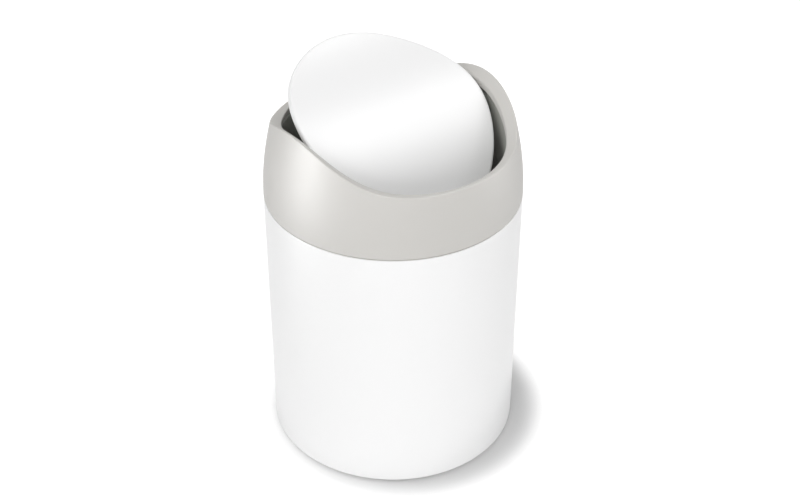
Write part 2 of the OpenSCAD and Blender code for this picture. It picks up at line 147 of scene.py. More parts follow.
def add(mesh, other, *places):
    # joins the other mesh to this one, once at each place
    part = bpy.data.meshes.new("part")
    other.to_mesh(part)
    other.free()
    for place in places or [Matrix()]:
        copy = part.copy()
        copy.transform(place)
        if place.determinant() < 0:
            copy.flip_normals()
        mesh.from_mesh(copy)
        bpy.data.meshes.remove(copy)
    bpy.data.meshes.remove(part)


def block(low, high, soft, segments=2):
    # box between two corners with rounded edges
    mesh = bmesh.new()
    bmesh.ops.create_cube(mesh, size=1)
    for vert in mesh.verts:
        vert.co = Vector([(low[i] + (high[i] - low[i]) * (vert.co[i] + 0.5)) * mm
                          for i in range(3)])
    if soft:
        bmesh.ops.bevel(mesh, geom=mesh.edges[:], offset=soft * mm, segments=segments,
                        profile=0.5, affect="EDGES")
    return mesh


def prism(outline, low, high, soft):
    # upright solid over a flat outline with rounded rims
    mesh = bmesh.new()
    mesh.faces.new([mesh.verts.new((x * mm, y * mm, low * mm)) for x, y in outline])
    made = bmesh.ops.extrude_face_region(mesh, geom=mesh.faces[:], use_keep_orig=True)["geom"]
    lifted = [part for part in made if isinstance(part, bmesh.types.BMVert)]
    bmesh.ops.translate(mesh, verts=lifted, vec=(0, 0, (high - low) * mm))
    bmesh.ops.recalc_face_normals(mesh, faces=mesh.faces)
    rims = [edge for edge in mesh.edges if abs(edge.verts[0].co.z - edge.verts[1].co.z) < 1e-6]
    bmesh.ops.bevel(mesh, geom=rims, offset=soft * mm, segments=2, profile=0.5, affect="EDGES")
    return mesh


def turned(points, steps, closed=True):
    # solid turned round the Z axis from (radius, height, rounding), three facets to a rounding
    mesh = spun(filleted(points, 3, closed), steps, closed)
    closeUp(mesh, 1e-6)
    return mesh


def pin(radius, low, high, steps):
    # plain cylinder that cuts a hole
    return turned([(0, low, 0), (radius, low, 0), (radius, high, 0), (0, high, 0)], steps,
                  closed=False)


def cutBy(piece, mesh):
    # takes the solids of a mesh away from the piece
    tool = finished("tool", mesh)
    cut = piece.modifiers.new("cut", "BOOLEAN")
    cut.operation, cut.solver, cut.object = "DIFFERENCE", "EXACT", tool
    cut.use_self = True
    bpy.context.view_layer.update()
    whole = piece.data
    piece.data = bpy.data.meshes.new_from_object(
        piece.evaluated_get(bpy.context.evaluated_depsgraph_get()))
    piece.modifiers.clear()
    bpy.data.objects.remove(tool)
    bpy.data.meshes.remove(whole)
    smooth(piece.data)


def at(x, y=0, z=0):
    return Matrix.Translation(Vector((x, y, z)) * mm)


def about(degrees, axis):
    return Matrix.Rotation(math.radians(degrees), 4, axis)


alongX = about(90, "Y")  # lays what was made round Z along X
standing = Matrix(((0, 0, 1, 0), (1, 0, 0, 0), (0, 1, 0, 0), (0, 0, 0, 1)))  # X to Y, Y to Z
mirrored = Matrix.Scale(-1, 4, (1, 0, 0))
pivotPlace = at(0, 0, lid["pivot"])
lidPlace = Matrix.Translation((0, 0, lid["pivot"] * mm)) @ about(lid["tilt"], "X")
sides = {"Left": pivotPlace @ mirrored, "Right": pivotPlace}


def stillFor(piece, body, slotName, finish, *stoodFor):
    # the piece rides on its body, takes its finish and stands for its CAD nodes
    piece.data.materials.clear()
    piece.data.materials.append(finish)
    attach(piece, body)
    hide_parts(*stoodFor)


def paint(r, g, b):
    # a colour as it is written, 0 to 255, in linear light
    def linear(v):
        v /= 255
        return v / 12.92 if v <= 0.04045 else ((v + 0.055) / 1.055) ** 2.4  # the sRGB curve
    return (linear(r), linear(g), linear(b), 1)


def grey(share):
    return (share, share, share, 1)


def newGroup(name, inputs, outputs):
    group = bpy.data.node_groups.new(name, "ShaderNodeTree")
    for label, kind, value in inputs:
        socket = group.interface.new_socket(label, in_out="INPUT", socket_type=kind)
        socket.default_value = value
    for label, kind in outputs:
        group.interface.new_socket(label, in_out="OUTPUT", socket_type=kind)
    return group, group.nodes.new("NodeGroupInput"), group.nodes.new("NodeGroupOutput")


def mathNode(tree, operation, *values):
    # each value is a number or the socket it comes from
    node = tree.nodes.new("ShaderNodeMath")
    node.operation = operation
    for k, value in enumerate(values):
        if isinstance(value, bpy.types.NodeSocket):
            tree.links.new(value, node.inputs[k])
        else:
            node.inputs[k].default_value = value
    return node.outputs[0]


def addNoise(group, given, detail):
    # noise over the piece's own coordinates, as large as the group's Size says
    place = group.nodes.new("ShaderNodeTexCoord")
    noise = group.nodes.new("ShaderNodeTexNoise")
    noise.inputs["Detail"].default_value = detail
    group.links.new(place.outputs["Object"], noise.inputs["Vector"])
    group.links.new(mathNode(group, "DIVIDE", 1 / mm, given.outputs["Size"]),
                    noise.inputs["Scale"])
    return noise


# what all finishes share
texture = dict(grainDetail=3, patchSize=20, patchDetail=5, patchRough=0.6, driftSize=40,
               driftDetail=4)


def makeGrainGroup():
    # moulding or coating texture: a height for bump
    group, given, result = newGroup(
        "surfaceGrain", [("Size", "NodeSocketFloat", 0.5)], [("Height", "NodeSocketFloat")])
    grain = addNoise(group, given, texture["grainDetail"])
    group.links.new(grain.outputs["Fac"], result.inputs["Height"])
    return group


def makeHandlingGroup():
    # roughness that drifts where the surface was touched and wiped
    group, given, result = newGroup(
        "handling", [("Roughness", "NodeSocketFloat", 0.3), ("Spread", "NodeSocketFloat", 0.05),
                     ("Size", "NodeSocketFloat", texture["patchSize"])],
        [("Roughness", "NodeSocketFloat")])
    patches = addNoise(group, given, texture["patchDetail"])
    patches.inputs["Roughness"].default_value = texture["patchRough"]
    centred = mathNode(group, "SUBTRACT", patches.outputs["Fac"], 0.5)
    spread = mathNode(group, "MULTIPLY_ADD", centred, given.outputs["Spread"],
                      given.outputs["Roughness"])
    group.links.new(spread, result.inputs["Roughness"])
    return group


def makeDriftGroup():
    # slight change of colour over the surface
    group, given, result = newGroup(
        "colourDrift", [("Colour", "NodeSocketColor", grey(0.8)),
                        ("Other", "NodeSocketColor", grey(0.7)),
                        ("Size", "NodeSocketFloat", texture["driftSize"])],
        [("Colour", "NodeSocketColor")])
    clouds = addNoise(group, given, texture["driftDetail"])
    mix = group.nodes.new("ShaderNodeMix")
    mix.data_type = "RGBA"
    group.links.new(clouds.outputs["Fac"], mix.inputs[0])
    group.links.new(given.outputs["Colour"], mix.inputs[6])
    group.links.new(given.outputs["Other"], mix.inputs[7])
    group.links.new(mix.outputs[2], result.inputs["Colour"])
    return group


grainGroup = makeGrainGroup()
handlingGroup = makeHandlingGroup()
driftGroup = makeDriftGroup()


def makeFinish(name, colour, other, rough, spread, grain, bump, metal=0):
    made = bpy.data.materials.new(name)
    made.use_nodes = True
    tree = made.node_tree
    shader = tree.nodes["Principled BSDF"]
    shader.inputs["Metallic"].default_value = metal
    drift = tree.nodes.new("ShaderNodeGroup")
    drift.node_tree = driftGroup
    drift.inputs["Colour"].default_value = paint(*colour)
    drift.inputs["Other"].default_value = paint(*other)
    handled = tree.nodes.new("ShaderNodeGroup")
    handled.node_tree = handlingGroup
    handled.inputs["Roughness"].default_value = rough
    handled.inputs["Spread"].default_value = spread
    surface = tree.nodes.new("ShaderNodeGroup")
    surface.node_tree = grainGroup
    surface.inputs["Size"].default_value = grain
    relief = tree.nodes.new("ShaderNodeBump")
    relief.inputs["Strength"].default_value = 1
    relief.inputs["Distance"].default_value = bump * mm
    tree.links.new(drift.outputs["Colour"], shader.inputs["Base Color"])
    tree.links.new(handled.outputs["Roughness"], shader.inputs["Roughness"])
    tree.links.new(surface.outputs["Height"], relief.inputs["Height"])
    tree.links.new(relief.outputs["Normal"], shader.inputs["Normal"])
    return made


# size of the grain and height of the bump are in millimetres
looks = dict(
    whiteSteel=dict(colour=(249, 249, 249), other=(247, 247, 247),
                    rough=0.36, spread=0.06, grain=1.6, bump=0.004),
    floorSteel=dict(colour=(205, 206, 206), other=(190, 191, 192),
                    rough=0.34, spread=0.12, grain=0.4, bump=0.004, metal=0.9),
    collarPlastic=dict(colour=(205, 203, 199), other=(202, 200, 196),
                       rough=0.56, spread=0.05, grain=0.35, bump=0.006),
    linerPlastic=dict(colour=(160, 161, 155), other=(152, 153, 147),
                      rough=0.5, spread=0.08, grain=0.35, bump=0.01),
    whitePlastic=dict(colour=(238, 238, 236), other=(233, 233, 231),
                      rough=0.38, spread=0.08, grain=0.35, bump=0.006),
    basePlastic=dict(colour=(240, 240, 239), other=(234, 234, 233),
                     rough=0.45, spread=0.08, grain=0.35, bump=0.01),
    blockPlastic=dict(colour=(138, 139, 135), other=(130, 131, 127),
                      rough=0.45, spread=0.08, grain=0.35, bump=0.008),
    bushPlastic=dict(colour=(232, 230, 220), other=(226, 224, 214),
                     rough=0.35, spread=0.06, grain=0.35, bump=0.004),
    padRubber=dict(colour=(70, 70, 70), other=(58, 58, 58),
                   rough=0.7, spread=0.1, grain=0.3, bump=0.012),
    rodSteel=dict(colour=(200, 200, 202), other=(186, 186, 188),
                  rough=0.28, spread=0.1, grain=0.3, bump=0.003, metal=1),
    weightSteel=dict(colour=(150, 152, 155), other=(128, 130, 134),
                     rough=0.42, spread=0.16, grain=0.5, bump=0.01, metal=1))
finishes = {name: makeFinish(name, **values) for name, values in looks.items()}
print("finishes made")


def makeBodyShell():
    # one sheet, folded in at the foot and the top
    r, top, foot, hem, end = (can[key] for key in ("radius", "seam", "foot", "hem", "hemEnd"))
    inner, fold, soft = r - 2 * can["sheet"], r - can["sheet"], can["hemRound"]
    profile = filleted([
        (r, foot, soft), (r, top, soft), (inner, top, soft), (inner, top - hem, end),
        (fold, top - hem, 0), (fold, foot + hem, 0), (inner, foot + hem, end),
        (inner, foot, soft)])
    mesh = spun(profile, can["steps"])
    closeUp(mesh)
    return finished("bodyShell", mesh)


stillFor(makeBodyShell(), "bin", "white_steel", finishes["whiteSteel"], "body_shell")

# steps of each stretch of the collar's outline, and (inset, height) of its foot with the groove
collarSteps = dict(wall=16, shoulder=8, land=3, edge=6, inside=8)
collarFoot = [(groove["foot"], 0), (groove["foot"], groove["low"]),
              (groove["deep"], groove["low"]), (groove["deep"], groove["top"]),
              (groove["soft"], groove["top"])]


def collarRows():
    # (place, share) of each row of the collar's outline
    def stretch(place, first=1):
        count = collarSteps[place]
        return [(place, k / count) for k in range(first, count + 1)]
    return ([("foot", k) for k in range(len(collarFoot))] + stretch("wall", 0)
            + stretch("shoulder") + stretch("land")[:-1] + stretch("edge", 0)
            + [("lip", 0), ("lip", 1)] + stretch("inside"))


def bend(p, q, r, t):
    return (1 - t) * (1 - t) * p + 2 * t * (1 - t) * q + t * t * r


def collarPoint(a, place, share):
    r = rimRadius(a)
    crest = Vector((r, rimTop(r * math.sin(a))))
    m = ovalRadius(a, mouth["side"], mouth["front"])
    edge = Vector((m, mouthTop(m * math.sin(a))))
    across = edge - crest
    along = across.normalized()
    outer = min(rim["round"], rim["roundMost"] * across.length)
    inner = min(mouth["round"], mouth["roundMost"] * across.length)
    top = crest[1] - outer
    under = edge[1] - mouth["lip"]
    if place == "foot":
        inset, h = collarFoot[share]
        return Vector((can["radius"] - inset, h))
    if place == "wall":
        start = groove["top"] + groove["soft"]
        h = start + (top - start) * share
        return Vector((wallRadius(h), h))
    if place == "shoulder":
        return bend(Vector((wallRadius(top), top)), crest, crest + outer * along, share)
    if place == "land":
        return crest + along * (outer + (across.length - outer - inner) * share)
    if place == "edge":
        return bend(edge - inner * along, edge, edge - Vector((0, inner)), share)
    if place == "lip":
        return Vector((m if share == 0 else wallRadius(under) - rim["wall"], under))
    h = under * (1 - share)
    return Vector((wallRadius(h) - rim["wall"], h))


def makeCollarShell():
    rows = collarRows()
    mesh = spunRows(len(rows), rim["steps"])
    row = mesh.verts.layers.int["row"]
    for vert in mesh.verts:
        a = math.atan2(vert.co.y, vert.co.x)
        p = collarPoint(a, *rows[vert[row]])
        vert.co = Vector((p[0] * math.cos(a), p[0] * math.sin(a), p[1] + can["seam"])) * mm
    closeUp(mesh)
    return finished("collarShell", mesh)


stillFor(makeCollarShell(), "collar", "collar_plastic", finishes["collarPlastic"],
         "collar_shell")
print("body and collar made")


def lidSheet(rows, steps):
    # closed sheet over the lid's oval; each row is (share of the way out, inset, depth)
    mesh = spunRows(len(rows), steps, closed=False)
    row = mesh.verts.layers.int["row"]
    for vert in mesh.verts:
        a = math.atan2(vert.co.y, vert.co.x)
        share, inset, down = rows[vert[row]]
        x = share * (lid["side"] - inset) * math.cos(a)
        y = share * (lid["front"] - inset) * math.sin(a)
        vert.co = Vector((x, y, lidTop(y) - down)) * mm
    closeUp(mesh, 1e-6)
    return mesh


def makeLidPanel():
    soft, sheet, deep, end, rings = (lid[key] for key in ("round", "sheet", "edge", "hemRound",
                                                          "rings"))
    top = [(k / rings, 0, 0) for k in range(rings)]
    turns = [math.radians(t) for t in range(0, 91, 10)]
    roll = [(1, soft * (1 - math.sin(t)), soft * (1 - math.cos(t))) for t in turns]
    hem = [(1, 0, deep - end), (1, end, deep), (1, sheet - end, deep), (1, sheet, deep - end),
           (1, sheet, soft), (1, soft, sheet)]
    under = [(k / rings, 0, sheet) for k in range(rings - 1, -1, -1)]
    mesh = lidSheet(top + roll + hem + under, lid["steps"])
    mesh.transform(lidPlace)
    return finished("lidPanel", mesh)


stillFor(makeLidPanel(), "lid", "white_steel", finishes["whiteSteel"], "lid_panel")
print("lid made")

# base: pressed floor, ring and pads
pan = dict(flange=59.3, side=59.8, foot=1.3, floor=6.2, sheet=0.5, beadIn=20, beadOut=46,
           slope=3, rise=1.2, beadRound=2, flangeRound=0.4, footRound=0.15, cornerRound=0.8,
           steps=192)
ring = dict(inner=47.7, outer=59.2, lip=60.3, lipEdge=59.95, low=0.6, lipTop=1.1, web=2.6,
            top=6.1, wall=1.4, lowRound=0.2, lipRound=0.1, webRound=0.5, topRound=0.4, steps=192)
pad = dict(count=4, reach=53, radius=4.5, height=1.4, socket=4.6, socketTop=1.4, cutFrom=-1,
           hollow=0.25, hollowEdge=2.2, tread=1.9, hollowRound=0.2, treadRound=0.15,
           footRound=0.45, topRound=0.2, steps=64)


def makeBasePan():
    z, sheet, up, slope, soft = (pan[key] for key in ("floor", "sheet", "rise", "slope",
                                                      "beadRound"))
    under = [(0, z, 0), (pan["beadIn"], z, soft), (pan["beadIn"] + slope, z + up, soft),
             (pan["beadOut"] - slope, z + up, soft), (pan["beadOut"], z, soft),
             (pan["flange"], z, pan["flangeRound"])]
    rimmed = [(pan["flange"], pan["foot"], pan["footRound"]),
              (pan["side"], pan["foot"], pan["footRound"]),
              (pan["side"], z + sheet, pan["cornerRound"])]
    over = [(r, h + sheet, bent) for r, h, bent in under[4::-1]]
    return finished("basePan", turned(under + rimmed + over, pan["steps"], closed=False))


def padPlaces():
    return [about(360 * (k + 0.5) / pad["count"], "Z") @ at(pad["reach"])
            for k in range(pad["count"])]


def makeBaseRing():
    inner, outer, wall, top, soft = (ring[key] for key in ("inner", "outer", "wall", "top",
                                                           "topRound"))
    web, bent = ring["web"], ring["webRound"]
    mesh = turned([
        (inner, ring["low"], bent), (ring["lipEdge"], ring["low"], ring["lowRound"]),
        (ring["lip"], ring["lipTop"], ring["lipRound"]), (outer, ring["lipTop"], ring["lipRound"]),
        (outer, top, soft), (outer - wall, top, soft), (outer - wall, web, bent),
        (inner + wall, web, bent), (inner + wall, top, soft), (inner, top, soft)], ring["steps"])
    piece = finished("baseRing", mesh)
    sockets = bmesh.new()
    add(sockets, pin(pad["socket"], pad["cutFrom"], pad["socketTop"], pad["steps"]), *padPlaces())
    cutBy(piece, sockets)
    return piece


def makeFootPads():
    r, top, hollow = pad["radius"], pad["height"], pad["hollow"]
    mesh = bmesh.new()
    add(mesh, turned([
        (0, hollow, 0), (r - pad["hollowEdge"], hollow, pad["hollowRound"]),
        (r - pad["tread"], 0, pad["treadRound"]), (r, 0, pad["footRound"]),
        (r, top, pad["topRound"]), (0, top, 0)], pad["steps"], closed=False), *padPlaces())
    return finished("footPads", mesh)


stillFor(makeBasePan(), "bin", "floor_steel", finishes["floorSteel"], "base_pan")
stillFor(makeBaseRing(), "bin", "base_plastic", finishes["basePlastic"], "base_ring")
stillFor(makeFootPads(), "bin", "rubber", finishes["padRubber"], "foot_pads")
print("base made")

# inner ring of the collar
liner = dict(wall=1.6, shelf=7.6, deep=14.4, skirt=58.45, side=50.2, front=54.45, gap=2.2,
             play=0.1, slotHalf=6.5, slotLow=157.9, slotTop=185, ribs=12, ribHalf=1, ribOut=59.7,
             ribLow=119, ribTop=132.3, ribRoot=0.8, ribRound=0.4, footRound=0.3, shelfRound=0.5,
             topRound=0.4, steps=288)


def leanHeight(r):
    low, high = 0, rim["peak"]
    for _ in range(20):  # halves the span in which the wall has this radius
        h = (low + high) / 2
        low, high = (h, high) if wallRadius(h) > r else (low, h)
    return (low + high) / 2


def throatTop(y):
    # the ring ends under the lip of the mouth and clear of the leaning wall
    share, play = min(1, abs(y) / liner["front"]), liner["play"]
    r = math.hypot(liner["side"] * math.sqrt(1 - share * share), liner["front"] * share)
    lean = leanHeight(r + liner["wall"] / 2 + play + rim["wall"])
    return min(mouthTop(y) - mouth["lip"], lean) - play


def linerOutline(a):
    wall, shelf, skirt = liner["wall"], liner["shelf"], liner["skirt"]
    low, mid, top = liner["footRound"], liner["shelfRound"], liner["topRound"]
    inner = ovalRadius(a, liner["side"], liner["front"])
    outer = ovalRadius(a, liner["side"] + wall, liner["front"] + wall)
    high = throatTop(outer * math.sin(a))
    return filleted([
        (skirt - wall, -liner["deep"], low), (skirt, -liner["deep"], low),
        (skirt, shelf + wall, mid), (outer, shelf + wall, mid),
        (min(outer, wallRadius(high) - liner["gap"]), high, top),
        (inner, throatTop(inner * math.sin(a)), top), (inner, shelf, top),
        (skirt - wall, shelf, mid)], 4)


def makeCollarLiner():
    mesh = spunRows(len(linerOutline(0)), liner["steps"])
    row = mesh.verts.layers.int["row"]
    outlines = {}
    for vert in mesh.verts:
        a = round(math.atan2(vert.co.y, vert.co.x), 5)
        if a not in outlines:
            outlines[a] = linerOutline(a)
        p = outlines[a][vert[row]]
        vert.co = Vector((p[0] * math.cos(a), p[0] * math.sin(a), p[1] + can["seam"])) * mm
    closeUp(mesh)
    piece = finished("collarLiner", mesh)
    reach, half = can["radius"], liner["slotHalf"]
    cutBy(piece, block((-reach, -half, liner["slotLow"]), (reach, half, liner["slotTop"]), 0))
    ribs = bmesh.new()
    ribs.from_mesh(piece.data)
    rib = block((liner["skirt"] - liner["ribRoot"], -liner["ribHalf"], liner["ribLow"]),
                (liner["ribOut"], liner["ribHalf"], liner["ribTop"]), liner["ribRound"])
    add(ribs, rib, *[about(360 * (k + 0.5) / liner["ribs"], "Z") for k in range(liner["ribs"])])
    bpy.data.objects.remove(piece)
    return finished("collarLiner", ribs)


stillFor(makeCollarLiner(), "collar", "liner_plastic", finishes["linerPlastic"], "collar_liner")
print("inner ring made")

# bearings with their bushes and stop pegs
bearing = dict(low=49.2, high=53.2, half=6.4, drop=8, top=2.2, crown=4.2, bore=3, cutFrom=40,
               cutTo=60, foot=51.9, footEnd=53.1, footHalf=7.9, footTop=-4, pegLow=48, pegRoot=1,
               peg=0.7, pegY=4.92, pegZ=0.87, lowRound=0.5, shoulderRound=0.8, edgeRound=0.3,
               pegRound=0.2, arcSteps=24, pegSteps=32, boreSteps=64)
bush = dict(bore=2.05, radius=3, boreRound=0.2, lowRound=0.15, highRound=0.3, steps=64)
bumper = dict(low=48.1, high=49.2, bore=0.7, radius=1.3, boreRound=0.1, round=0.25, steps=32)


def pegPlaces():
    return [at(0, side * bearing["pegY"], bearing["pegZ"]) @ alongX for side in (-1, 1)]


def makeBearing(side):
    half, drop, top, crown = (bearing[key] for key in ("half", "drop", "top", "crown"))
    low, bent, soft = bearing["lowRound"], bearing["shoulderRound"], bearing["edgeRound"]
    count, start = bearing["arcSteps"], math.asin(top / crown)
    arc = [start + (math.pi - 2 * start) * k / count for k in range(count + 1)]
    outline = filleted([(-half, -drop, low), (half, -drop, low), (half, top, bent)]
                       + [(crown * math.cos(t), crown * math.sin(t), 0) for t in arc]
                       + [(-half, top, bent)])
    peg, tip, root = bearing["peg"], bearing["pegLow"], bearing["low"] + bearing["pegRoot"]
    mesh = bmesh.new()
    add(mesh, prism(outline, bearing["low"], bearing["high"], soft), standing)
    add(mesh, block((bearing["foot"], -bearing["footHalf"], -drop),
                    (bearing["footEnd"], bearing["footHalf"], bearing["footTop"]), soft))
    add(mesh, turned([(0, tip, 0), (peg, tip, bearing["pegRound"]), (peg, root, 0), (0, root, 0)],
                     bearing["pegSteps"], closed=False), *pegPlaces())
    piece = finished("bearing" + side, mesh)
    hole = bmesh.new()
    add(hole, pin(bearing["bore"], bearing["cutFrom"], bearing["cutTo"], bearing["boreSteps"]),
        alongX)
    cutBy(piece, hole)
    piece.data.transform(sides[side])
    if side == "Left":
        piece.data.flip_normals()
    return piece


def makeBush(side):
    mesh = bmesh.new()
    bore, r, low, high = bush["bore"], bush["radius"], bearing["low"], bearing["high"]
    add(mesh, turned([(bore, low, bush["boreRound"]), (r, low, bush["lowRound"]),
                      (r, high, bush["highRound"]), (bore, high, bush["boreRound"])],
                     bush["steps"]), sides[side] @ alongX)
    return finished("bush" + side, mesh)


def makeBumpers(side):
    mesh = bmesh.new()
    bore, r, low, high = (bumper[key] for key in ("bore", "radius", "low", "high"))
    sleeve = turned([(bore, low, bumper["boreRound"]), (r, low, bumper["round"]),
                     (r, high, bumper["round"]), (bore, high, bumper["boreRound"])],
                    bumper["steps"])
    add(mesh, sleeve, *[sides[side] @ place for place in pegPlaces()])
    return finished("bumpers" + side, mesh)


for side in sides:
    end = "_" + side.lower()
    stillFor(makeBearing(side), "collar", "block_plastic", finishes["blockPlastic"],
             "bearing" + end)
    stillFor(makeBush(side), "collar", "bush_plastic", finishes["bushPlastic"], "bush" + end)
    stillFor(makeBumpers(side), "collar", "rubber", finishes["padRubber"], "bumpers" + end)
print("bearings made")

# moulded plate under the lid panel
plate = dict(top=1, under=2.4, inset=1.2, rimWide=1.4, rimDeep=2.7, topSoft=0.4, rimSoft=0.3,
             soft=0.1, rings=16, steps=192, sunk=1.6, rib=0.7, ribX=14, ribDeep=4.95, ribY=3.8,
             ribEnd=46.4, ribReach=0.94, ribRound=0.3, ribSteps=24)
boss = dict(radius=3.8, bore=2.05, start=39.8, end=47.6, nose=3.2, noseEnd=48.8, midHalf=1.4,
            webLow=2.5, boreRound=0.15, edgeRound=0.4, neckRound=0.2, noseRound=0.3, steps=64)
finger = dict(low=47.9, high=48.8, half=0.8, tip=-6.3, root=-2.05, round=0.2)
post = dict(x=25.5, y=10.5, radius=2.8, bore=1.15, foot=-3.8, boreTop=1.3, footRound=0.4,
            boreRound=0.2, steps=48)


def screwPlaces():
    return [at(x, y) for x in (-post["x"], post["x"]) for y in (-post["y"], post["y"])]


def makePlate():
    # plate with a turned rim
    top, under, inset, deep, rings = (plate[key] for key in ("top", "under", "inset", "rimDeep",
                                                             "rings"))
    inner, soft, topSoft, rimSoft = (inset + plate["rimWide"], plate["soft"], plate["topSoft"],
                                     plate["rimSoft"])
    return lidSheet(
        [(k / rings, inset, top) for k in range(rings)]
        + [(1, inset + topSoft, top), (1, inset + soft, top + soft), (1, inset, top + topSoft)]
        + [(1, inset, deep - rimSoft), (1, inset + soft, deep - soft), (1, inset + rimSoft, deep)]
        + [(1, inner - rimSoft, deep), (1, inner, under)]
        + [(k / rings, inner, under) for k in range(rings - 1, -1, -1)], plate["steps"])


def makeLidFrame():
    mesh = makePlate()
    both = [Matrix(), mirrored]
    middle = [-plate["ribX"], plate["ribX"]]
    sunk, rib, soft, count = (plate[key] for key in ("sunk", "rib", "ribRound", "ribSteps"))
    reach = plate["ribReach"] * lid["front"]
    ys = [reach * (k / count - 1) for k in range(2 * count + 1)]
    spine = ([(y, lidTop(y) - plate["ribDeep"]) for y in ys]
             + [(y, lidTop(y) - sunk) for y in ys[::-1]])
    add(mesh, prism(spine, -rib, rib, soft), *[at(x) @ standing for x in middle])
    high = lidTop(plate["ribY"] + rib) - sunk
    for y in (-plate["ribY"], plate["ribY"]):
        add(mesh, block((-plate["ribEnd"], y - rib, 0), (plate["ribEnd"], y + rib, high), soft))
    r, bore, start, end = (boss[key] for key in ("radius", "bore", "start", "end"))
    bent, inside = boss["edgeRound"], boss["boreRound"]
    tube = turned([(bore, start, inside), (r, start, bent), (r, end, bent),
                   (boss["nose"], end, boss["neckRound"]),
                   (boss["nose"], boss["noseEnd"], boss["noseRound"]),
                   (bore, boss["noseEnd"], inside)], boss["steps"])
    add(mesh, tube, *[side @ alongX for side in both])
    add(mesh, block((start, -r, boss["webLow"]), (plate["ribEnd"], r, high), soft), *both)
    add(mesh, block((finger["low"], -finger["half"], finger["tip"]),
                    (finger["high"], finger["half"], finger["root"]), finger["round"]), *both)
    mid = boss["midHalf"]
    add(mesh, turned([(bore, -mid, inside), (r, -mid, bent), (r, mid, bent),
                      (bore, mid, inside)], boss["steps"]), *[at(x) @ alongX for x in middle])
    roof = lidTop(post["y"]) - sunk
    add(mesh, turned([
        (0, roof, 0), (post["radius"], roof, 0), (post["radius"], post["foot"], post["footRound"]),
        (post["bore"], post["foot"], post["boreRound"]), (post["bore"], post["boreTop"], 0),
        (0, post["boreTop"], 0)], post["steps"], closed=False), *screwPlaces())
    mesh.transform(lidPlace)
    return finished("lidFrame", mesh)


stillFor(makeLidFrame(), "lid", "white_plastic", finishes["whitePlastic"], "lid_frame")

# rod and its clips
rod = dict(radius=2, end=53, chamfer=0.4, groove=1.5, grooveLow=38.85, grooveHigh=39.75,
           grooveRound=0.08, endRound=0.2, steps=64)
clip = dict(low=38.9, high=39.7, bore=1.55, radius=2.8, slotHalf=1.39, slotFrom=30, slotTo=50,
            slotLow=-5, boreRound=0.08, round=0.2, steps=64)


def makePivotRod():
    r, neck, soft, end = (rod[key] for key in ("radius", "groove", "chamfer", "end"))
    low, high, sharp, bent = (rod[key] for key in ("grooveLow", "grooveHigh", "grooveRound",
                                                   "endRound"))
    half = [(neck, low, 0), (neck, high, 0), (r, high, sharp), (r, end - soft, bent),
            (r - soft, end, bent), (0, end, 0)]
    start = (r, low, sharp)
    points = [(x, -y, given) for x, y, given in half[::-1] + [start]] + [start] + half
    mesh = bmesh.new()
    add(mesh, turned(points, rod["steps"], closed=False), lidPlace @ alongX)
    return finished("pivotRod", mesh)


def makeRodClip(side):
    mesh = bmesh.new()
    bore, r, low, high = (clip[key] for key in ("bore", "radius", "low", "high"))
    add(mesh, turned([(bore, low, clip["boreRound"]), (r, low, clip["round"]),
                      (r, high, clip["round"]), (bore, high, clip["boreRound"])], clip["steps"]),
        alongX)
    piece = finished("rodClip" + side, mesh)
    cutBy(piece, block((clip["slotFrom"], -clip["slotHalf"], clip["slotLow"]),
                       (clip["slotTo"], clip["slotHalf"], 0), 0))
    if side == "Left":
        piece.data.transform(mirrored)
        piece.data.flip_normals()
    piece.data.transform(lidPlace)
    return piece


stillFor(makePivotRod(), "lid", "rod_steel", finishes["rodSteel"], "pivot_rod")
for side in sides:
    stillFor(makeRodClip(side), "lid", "rod_steel", finishes["rodSteel"],
             "rod_clip_" + side.lower())
print("lid frame and rod made")

# counterweight in its screwed cover
weight = dict(x=30, y=6.5, low=-10, high=-4, round=0.5)
cover = dict(x=31.5, y=8, low=-11.5, high=-3.9, wall=1.4, roomX=30.1, roomY=6.6, roomOver=5,
             tabX=5.6, tabY=13, hole=1.2, holeLow=-12, round=0.9, tabRound=0.5, roomRound=0.4,
             steps=48)
screw = dict(seat=-5.3, head=2.2, headTall=1.3, radius=1.1, shank=5.4, tip=6.4, slotHalf=0.25,
             slotReach=1.15, slotDeep=0.7, slotLow=-3, crownRound=0.8, sideRound=0.5,
             seatRound=0.1, neckRound=0.05, tipRound=0.3, steps=48)


def makeCounterweight():
    x, y = weight["x"], weight["y"]
    mesh = block((-x, -y, weight["low"]), (x, y, weight["high"]), weight["round"])
    mesh.transform(lidPlace)
    return finished("counterweight", mesh)


def makeWeightCover():
    x, y, low, high, wall = (cover[key] for key in ("x", "y", "low", "high", "wall"))
    mesh = block((-x, -y, low), (x, y, high), cover["round"], 3)
    for place in (-post["x"], post["x"]):
        add(mesh, block((place - cover["tabX"], -cover["tabY"], high - wall),
                        (place + cover["tabX"], cover["tabY"], high), cover["tabRound"]))
    piece = finished("weightCover", mesh)
    x, y = cover["roomX"], cover["roomY"]
    room = block((-x, -y, low + wall), (x, y, high + cover["roomOver"]), cover["roomRound"])
    add(room, pin(cover["hole"], cover["holeLow"], 0, cover["steps"]), *screwPlaces())
    cutBy(piece, room)
    piece.data.transform(lidPlace)
    return piece


